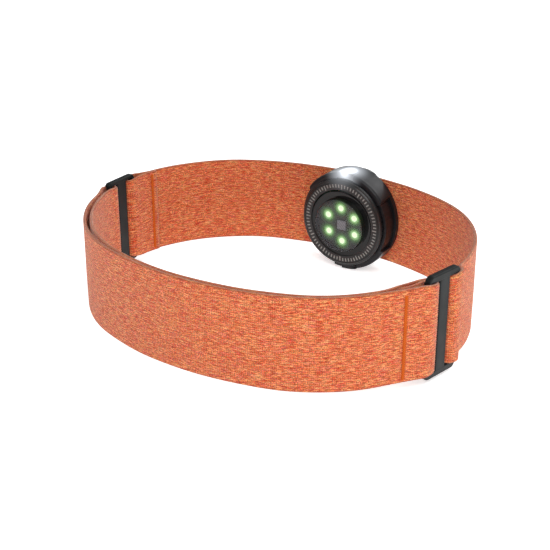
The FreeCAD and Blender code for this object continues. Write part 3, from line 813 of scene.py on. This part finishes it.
def outer_way():
    """From the fold at the ring, along the outside of the front, to the flap sewn at the adjuster."""
    f = S_RING_FRONT
    turn = turn_round_bar(f - BAR_AT, 1)
    turn.reverse()
    way = turn[3:] + [(f - 10.6, 0.3), (f - 13.4, -0.3)]
    s = S_ADJUSTER
    way += level(f - 16.5, s + 19.0, OUTSIDE)
    way += [(s + 16.0, OUTSIDE + 0.2), (s + 12.0, OUTSIDE + 0.8)]
    way += turn_round_bar(s + BAR_AT, -1)
    way += [(s + 9.2, -1.0), (s + ADJUSTER_SEAM, -0.85), (s + ADJUSTER_SEAM + LAP, -1.05)]
    return way


# ---------------------------------------------------------------- strap pieces

# How the webbing gives way, mm: narrower in a slide, lower on the ring's bar, ribbed in a fold, and
# with slightly uneven edges and faces.
SQUEEZE = 0.62
SQUEEZE_REACH = 6.0
DIP = 0.3
DIP_BEFORE = 3.0
DIP_REACH = 5.0
FOLD_AT = 3.2
FOLD_REACH = 0.9
RIB = 0.09
RIB_PITCH = 0.72
EDGE_WAVES = ((0.05, 9.0), (0.03, 3.7))
FACE_WAVE = (0.03, 5.1, 0.21)
UNDER_FACE_V = 60.0


def section_profile():
    """Outline of the webbing's cross-section: (v, t, edge) round from one face to the other, mm."""
    half_w, half_t = BAND_W / 2, BAND_T / 2
    vs = np.linspace(-half_w + half_t, half_w - half_t, FACE_COLUMNS)
    outline = [(v, half_t, 0.0) for v in vs]
    for i in range(1, EDGE_STEPS):
        a = math.pi * i / EDGE_STEPS
        outline.append((half_w - half_t + half_t * math.sin(a), half_t * math.cos(a), math.sin(a)))
    outline += [(v, -half_t, 0.0) for v in vs[::-1]]
    for i in range(1, EDGE_STEPS):
        a = math.pi * i / EDGE_STEPS
        outline.append((-half_w + half_t - half_t * math.sin(a), -half_t * math.cos(a), math.sin(a)))
    return outline


def fold_nearness(s):
    """1 where the webbing dives into a slot beside a middle bar."""
    near = np.zeros_like(s)
    for mid in SLIDES_AT:
        near = np.maximum(near, np.exp(-((np.abs(s - mid) - FOLD_AT) / FOLD_REACH) ** 2))
    return near


def strap_piece(name, way, u_start, seed):
    """Sweeps the webbing's section along a path. Returns the piece, its path and its last u."""
    flat = smooth_way(way)
    middle = station(flat[:, 0], flat[:, 1])
    along = np.gradient(middle, axis=0)
    along /= np.linalg.norm(along, axis=1)[:, None]
    across = np.stack([-along[:, 1], along[:, 0]], -1)
    run = np.concatenate([[0], np.cumsum(np.linalg.norm(np.diff(middle, axis=0), axis=1))])
    squeeze = 1.0 - SQUEEZE / (BAND_W / 2) * slide_nearness(flat[:, 0], SQUEEZE_REACH)
    dip = np.zeros(len(run))
    for mid in (S_RING, S_RING_FRONT):
        near = np.exp(-((flat[:, 0] - (mid - DIP_BEFORE)) / DIP_REACH) ** 2)
        dip -= DIP * near * np.clip(np.abs(flat[:, 1]), 0, 1)
    ribs = RIB * fold_nearness(flat[:, 0])
    profile = section_profile()
    rng = np.random.default_rng(seed)
    phase = rng.uniform(0, 2 * math.pi, 3)
    rows, cols = len(middle), len(profile)
    verts = np.zeros((rows, cols, 3))
    wave = sum(size * np.sin(run / span + shift) for (size, span), shift in zip(EDGE_WAVES, phase))
    lift_size, lift_span, lift_lean = FACE_WAVE
    for j, (v, t, edge) in enumerate(profile):
        reach = abs(v) / (BAND_W / 2)
        z = v * squeeze + dip + np.sign(v) * wave * reach ** 4
        lift = lift_size * np.sin(run / lift_span + v * lift_lean + phase[2])
        rib = np.sign(t) * ribs * math.sin(2 * math.pi * v / RIB_PITCH) * (edge == 0.0)
        verts[:, j, 0:2] = middle + across * (t + lift + rib)[:, None]
        verts[:, j, 2] = z
    obj = new_mesh(name, row(verts.reshape(-1, 3)), swept_faces(rows, cols))
    uv = obj.data.uv_layers.new(name="UVMap")
    edge_attribute = obj.data.attributes.new("edge", "FLOAT", "POINT")
    edges = np.tile(np.array([p[2] for p in profile]), rows)
    edge_attribute.data.foreach_set("value", edges.astype(np.float32))
    loop_verts = np.zeros(len(obj.data.loops), np.int64)
    obj.data.loops.foreach_get("vertex_index", loop_verts)
    vv = np.array([p[0] + (UNDER_FACE_V if p[1] < 0 else 0.0) for p in profile])
    uvs = np.stack([(u_start + run[loop_verts // cols]) * MM, vv[loop_verts % cols] * MM], -1)
    uv.data.foreach_set("uv", uvs.astype(np.float32).ravel())
    face_outwards(obj)
    return obj, flat, u_start + run[-1]


back, back_flat, u_end = strap_piece("strap_back", back_way(), 0.0, 1)
inner, _, u_end = strap_piece("strap_inner", inner_way(), u_end, 2)
outer, outer_flat, u_end = strap_piece("strap_outer", outer_way(), u_end, 3)
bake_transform(back)
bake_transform(inner)
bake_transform(outer)
finish_piece(back, "webbing", None, "strap_back_run", "strap_adjuster_pass")
finish_piece(inner, "webbing", None, "strap_inner_run")
finish_piece(outer, "webbing", None, "strap_outer_run")


# ---------------------------------------------------------------- stitching

THREAD_R = 0.17
STITCH_PITCH = 0.62
STITCH_ASIDE = 0.44
STITCH_LIFT = 0.12
STITCH_SINK = 0.07
POINTS_PER_STITCH = 8
SEAM_LOW = -13.2
ADJUSTER_SEAM_HIGH = 12.3
RING_SEAM_HIGH = 13.2


def tube(name, points, radius):
    """Round thread along a list of points, mm, in the loop's frame."""
    p = np.asarray(points, float)
    along = np.gradient(p, axis=0)
    along /= np.linalg.norm(along, axis=1)[:, None]
    verts = []
    for q, a in zip(p, along):
        u = np.cross(a, (0.0, 0.0, 1.0) if abs(a[2]) < 0.9 else (1.0, 0.0, 0.0))
        u /= np.linalg.norm(u)
        w = np.cross(a, u)
        for i in range(THREAD_SIDES):
            t = 2 * math.pi * i / THREAD_SIDES
            verts.append(row(q + radius * (math.cos(t) * u + math.sin(t) * w)))
    return new_mesh(name, verts, swept_faces(len(p), THREAD_SIDES))


def stitch_line(name, flat, s, near_offset, side, z0, z1, body, *nodes):
    """Zigzag row of thread on one face of the webbing, where its path crosses s."""
    crossing = []
    for i in range(len(flat) - 1):
        a, b = flat[i], flat[i + 1]
        if (a[0] - s) * (b[0] - s) <= 0 and a[0] != b[0]:
            share = (s - a[0]) / (b[0] - a[0])
            crossing.append((a[1] + share * (b[1] - a[1]), (b[1] - a[1]) / (b[0] - a[0])))
    offset, slope = min(crossing, key=lambda c: abs(c[0] - near_offset))
    points = []
    count = int((z1 - z0) / (STITCH_PITCH / POINTS_PER_STITCH))
    for i in range(count + 1):
        z = z0 + (z1 - z0) * i / count
        turn = 2 * math.pi * (z - z0) / STITCH_PITCH
        aside = STITCH_ASIDE * max(-1.0, min(1.0, 1.5 * math.sin(turn)))
        lift = STITCH_LIFT - STITCH_SINK * abs(math.sin(turn)) ** 6
        reach = offset + slope * aside + side * (BAND_T / 2 + lift)
        x, y = station(np.array([s + aside]), reach)[0]
        points.append((x, y, z))
    finish_piece(tube(name, points, THREAD_R), "thread", body, *nodes)


AT_ADJUSTER = S_ADJUSTER + ADJUSTER_SEAM
AT_RING = S_RING + RING_SEAM
stitch_line(
    "stitches_adjuster_face", outer_flat, AT_ADJUSTER, 0.5, 1, SEAM_LOW, ADJUSTER_SEAM_HIGH,
    "adjuster", "adjuster_stitches")
stitch_line(
    "stitches_adjuster_under", outer_flat, AT_ADJUSTER, -1.0, -1, SEAM_LOW, ADJUSTER_SEAM_HIGH,
    "adjuster")
stitch_line(
    "stitches_ring_face", back_flat, AT_RING, -1.3, -1, SEAM_LOW, RING_SEAM_HIGH,
    "strap", "ring_stitches")
stitch_line("stitches_ring_under", back_flat, AT_RING, 0.0, 1, SEAM_LOW, RING_SEAM_HIGH, "strap")

# ---------------------------------------------------------------- pod's face and optics

face_ring = lathe("pod_face_ring", rounded([
    (WINDOW_R + 0.08, SEAT + 0.05, 0), (WINDOW_R + 0.08, POD_FACE, 0.22), (13.75, POD_FACE, 0.1),
    (13.92, POD_FACE - 0.2, 0.05), (14.02, POD_FACE - 0.2, 0.05), (14.08, POD_FACE, 0.06),
    (14.36, POD_FACE - 0.26, 0.05), (14.8, POD_FACE - 0.36, 0.12), (POD_R, POD_FACE - 0.6, 0.1),
    (POD_R, SEAT + 0.05, 0),
]))
finish_piece(face_ring, "ring_plastic", "sensor", "front_ring")

window_rim = lathe("window_rim", rounded([
    (DOME_R - 0.6, SEAT, 0), (DOME_R - 0.6, WINDOW_FACE - 0.02, 0),
    (DOME_R + 0.25, WINDOW_FACE - 0.08, 0.15),
    (WINDOW_R - 0.35, WINDOW_FACE, 0.2), (WINDOW_R, WINDOW_FACE + 0.16, 0.1), (WINDOW_R, SEAT, 0),
]), z0=OPTICS_Z)
finish_piece(window_rim, "dark_window", "sensor", "optical_window")

dome = lathe("window_dome", rounded([
    (0.0, SEAT, 0), (0.0, DOME_TOP, 0), (4.0, DOME_TOP - 0.02, 2.0),
    (DOME_R - 0.08, DOME_TOP - 0.12, 0.75),
    (DOME_R, WINDOW_FACE - 0.1, 0), (DOME_R, SEAT, 0),
]), z0=OPTICS_Z)
finish_piece(dome, "dark_window", "sensor", "optical_window", look=DOME)

optics = lathe("optics_potting", rounded([
    (0.0, OPTICS_AT - 0.35, 0), (0.0, OPTICS_AT, 0), (DOME_R - 0.12, OPTICS_AT, 0.2),
    (DOME_R - 0.12, OPTICS_AT - 0.35, 0),
]), z0=OPTICS_Z)
finish_piece(optics, "baffle_plastic", "sensor", "light_baffle")


# Outlines of the lenses, mm: (radius, lift) for the lights, (radius, height) for the status light.
LED_RINGS = ((0.98, 0.0), (0.95, 0.05), (0.84, 0.11), (0.58, 0.16), (0.28, 0.19))
LED_PEAK = 0.2
STATUS_RINGS = ((0.86, 16.2), (0.86, 16.86), (0.8, 16.93), (0.6, 16.98), (0.3, 17.0))
STATUS_PEAK = 17.0


def led_lenses():
    """Six low domes over the lights."""
    verts = []
    faces = []
    for spot in led_spots():
        base = len(verts)
        for r, lift in LED_RINGS:
            for i in range(LENS_SEGMENTS):
                a = 2 * math.pi * i / LENS_SEGMENTS
                verts.append(np.array(spot) + np.array((r * math.cos(a), -lift, r * math.sin(a))) * MM)
        verts.append(np.array(spot) + np.array((0, -LED_PEAK, 0)) * MM)
        faces += stacked_faces(len(LED_RINGS), LENS_SEGMENTS, base)
    return new_mesh("green_led_lenses", verts, faces)


finish_piece(led_lenses(), "green_led", "sensor", "green_leds")


def photodiode_face():
    """Square chip with bevelled edges in a thin raised frame."""
    half = PHOTODIODE / 2 - 0.08
    verts = []
    faces = []
    y0 = BAND_INNER_Y - OPTICS_AT
    rings = [
        (half + 0.14, 0.0), (half + 0.14, 0.05), (half + 0.06, 0.08),
        (half, 0.05), (half, 0.02), (half - 0.1, 0.07),
    ]
    for h, lift in rings:
        for sx, sz in ((-1, -1), (1, -1), (1, 1), (-1, 1)):
            verts.append(row((sx * h, y0 - lift, PHOTODIODE_Z + sz * h)))
    for j in range(len(rings) - 1):
        for i in range(4):
            k = (i + 1) % 4
            faces.append((j * 4 + i, j * 4 + k, (j + 1) * 4 + k, (j + 1) * 4 + i))
    faces.append(tuple((len(rings) - 1) * 4 + i for i in range(4)))
    faces.append((3, 2, 1, 0))
    obj = new_mesh("photodiode_face", verts, faces, smooth=False)
    return obj


finish_piece(photodiode_face(), "photodiode_chip", "sensor", "photodiode")


def status_lens():
    """Low clear dome in the button, lit from below."""
    x0, y0, _ = LIGHT_AT
    verts = []
    for r, z in STATUS_RINGS:
        for i in range(STATUS_SEGMENTS):
            a = 2 * math.pi * i / STATUS_SEGMENTS
            verts.append(row((x0 + r * math.cos(a), y0 + r * math.sin(a), z)))
    verts.append(row((x0, y0, STATUS_PEAK)))
    return new_mesh("status_lens", verts, stacked_faces(len(STATUS_RINGS), STATUS_SEGMENTS))


finish_piece(status_lens(), "light_window", "button", "button_light_window")

# ---------------------------------------------------------------- camera, floor and light

# The camera stands 34 degrees round from the front, towards +X, and looks down by 24.5 degrees.
CAMERA_AT = row((188.04, -279.49, 149.13))
FORWARD = Vector((-0.50884, 0.75439, -0.41469))
RIGHT = Vector((0.82904, 0.55919, 0.0))
UP = Vector((-0.23189, 0.34380, 0.90996))
LENS_LENGTH = 78.545
SENSOR_WIDTH = 36.0
FLOOR_HALF = 3.0
AIM = Vector((0, 0, 0.02))
LIGHTS = (
    # name, place, width and power, in metres and watts
    ("key", (0.35, -0.75, 0.9), 0.7, 7.6),
    ("fill", (-0.9, -0.3, 0.6), 0.8, 0.5),
    ("side", (1.15, -0.15, 0.06), 0.24, 3.0),
    ("top", (0.3, 0.75, 0.9), 0.9, 7.6),
)
WORLD_STRENGTH = 0.32

camera_data = bpy.data.cameras.new("camera")
camera_data.lens = LENS_LENGTH
camera_data.sensor_width = SENSOR_WIDTH
camera_data.dof.use_dof = False
camera_data.clip_start = 0.01
camera = bpy.data.objects.new("camera", camera_data)
bpy.context.scene.collection.objects.link(camera)
rotation = Matrix((RIGHT, UP, -FORWARD)).transposed()
camera.matrix_world = Matrix.Translation(Vector(CAMERA_AT)) @ rotation.to_4x4()
bpy.context.scene.camera = camera

corners = [(x * FLOOR_HALF, y * FLOOR_HALF, 0) for x, y in ((-1, -1), (1, -1), (1, 1), (-1, 1))]
floor = new_mesh("floor", corners, [(0, 1, 2, 3)])
floor_nodes = Nodes("floor_pale")
floor_nodes.shader(Base_Color=(0.92, 0.92, 0.92), Roughness=0.9)
floor_nodes.fixed(Emission_Color=(1, 1, 1, 1), Emission_Strength=0.6)
set_material(floor, floor_nodes.mat)


def area_light(name, at, size, power):
    data = bpy.data.lights.new(name, "AREA")
    data.shape = "DISK"
    data.size = size
    data.energy = power
    light = bpy.data.objects.new(name, data)
    light.location = at
    light.rotation_euler = (AIM - Vector(at)).to_track_quat("-Z", "Y").to_euler()
    bpy.context.scene.collection.objects.link(light)


for light in LIGHTS:
    area_light(*light)

world = bpy.data.worlds.new("studio")
world.use_nodes = True
world.node_tree.nodes["Background"].inputs[0].default_value = (1, 1, 1, 1)
world.node_tree.nodes["Background"].inputs[1].default_value = WORLD_STRENGTH
bpy.context.scene.world = world
bpy.context.scene.view_settings.view_transform = "Standard"
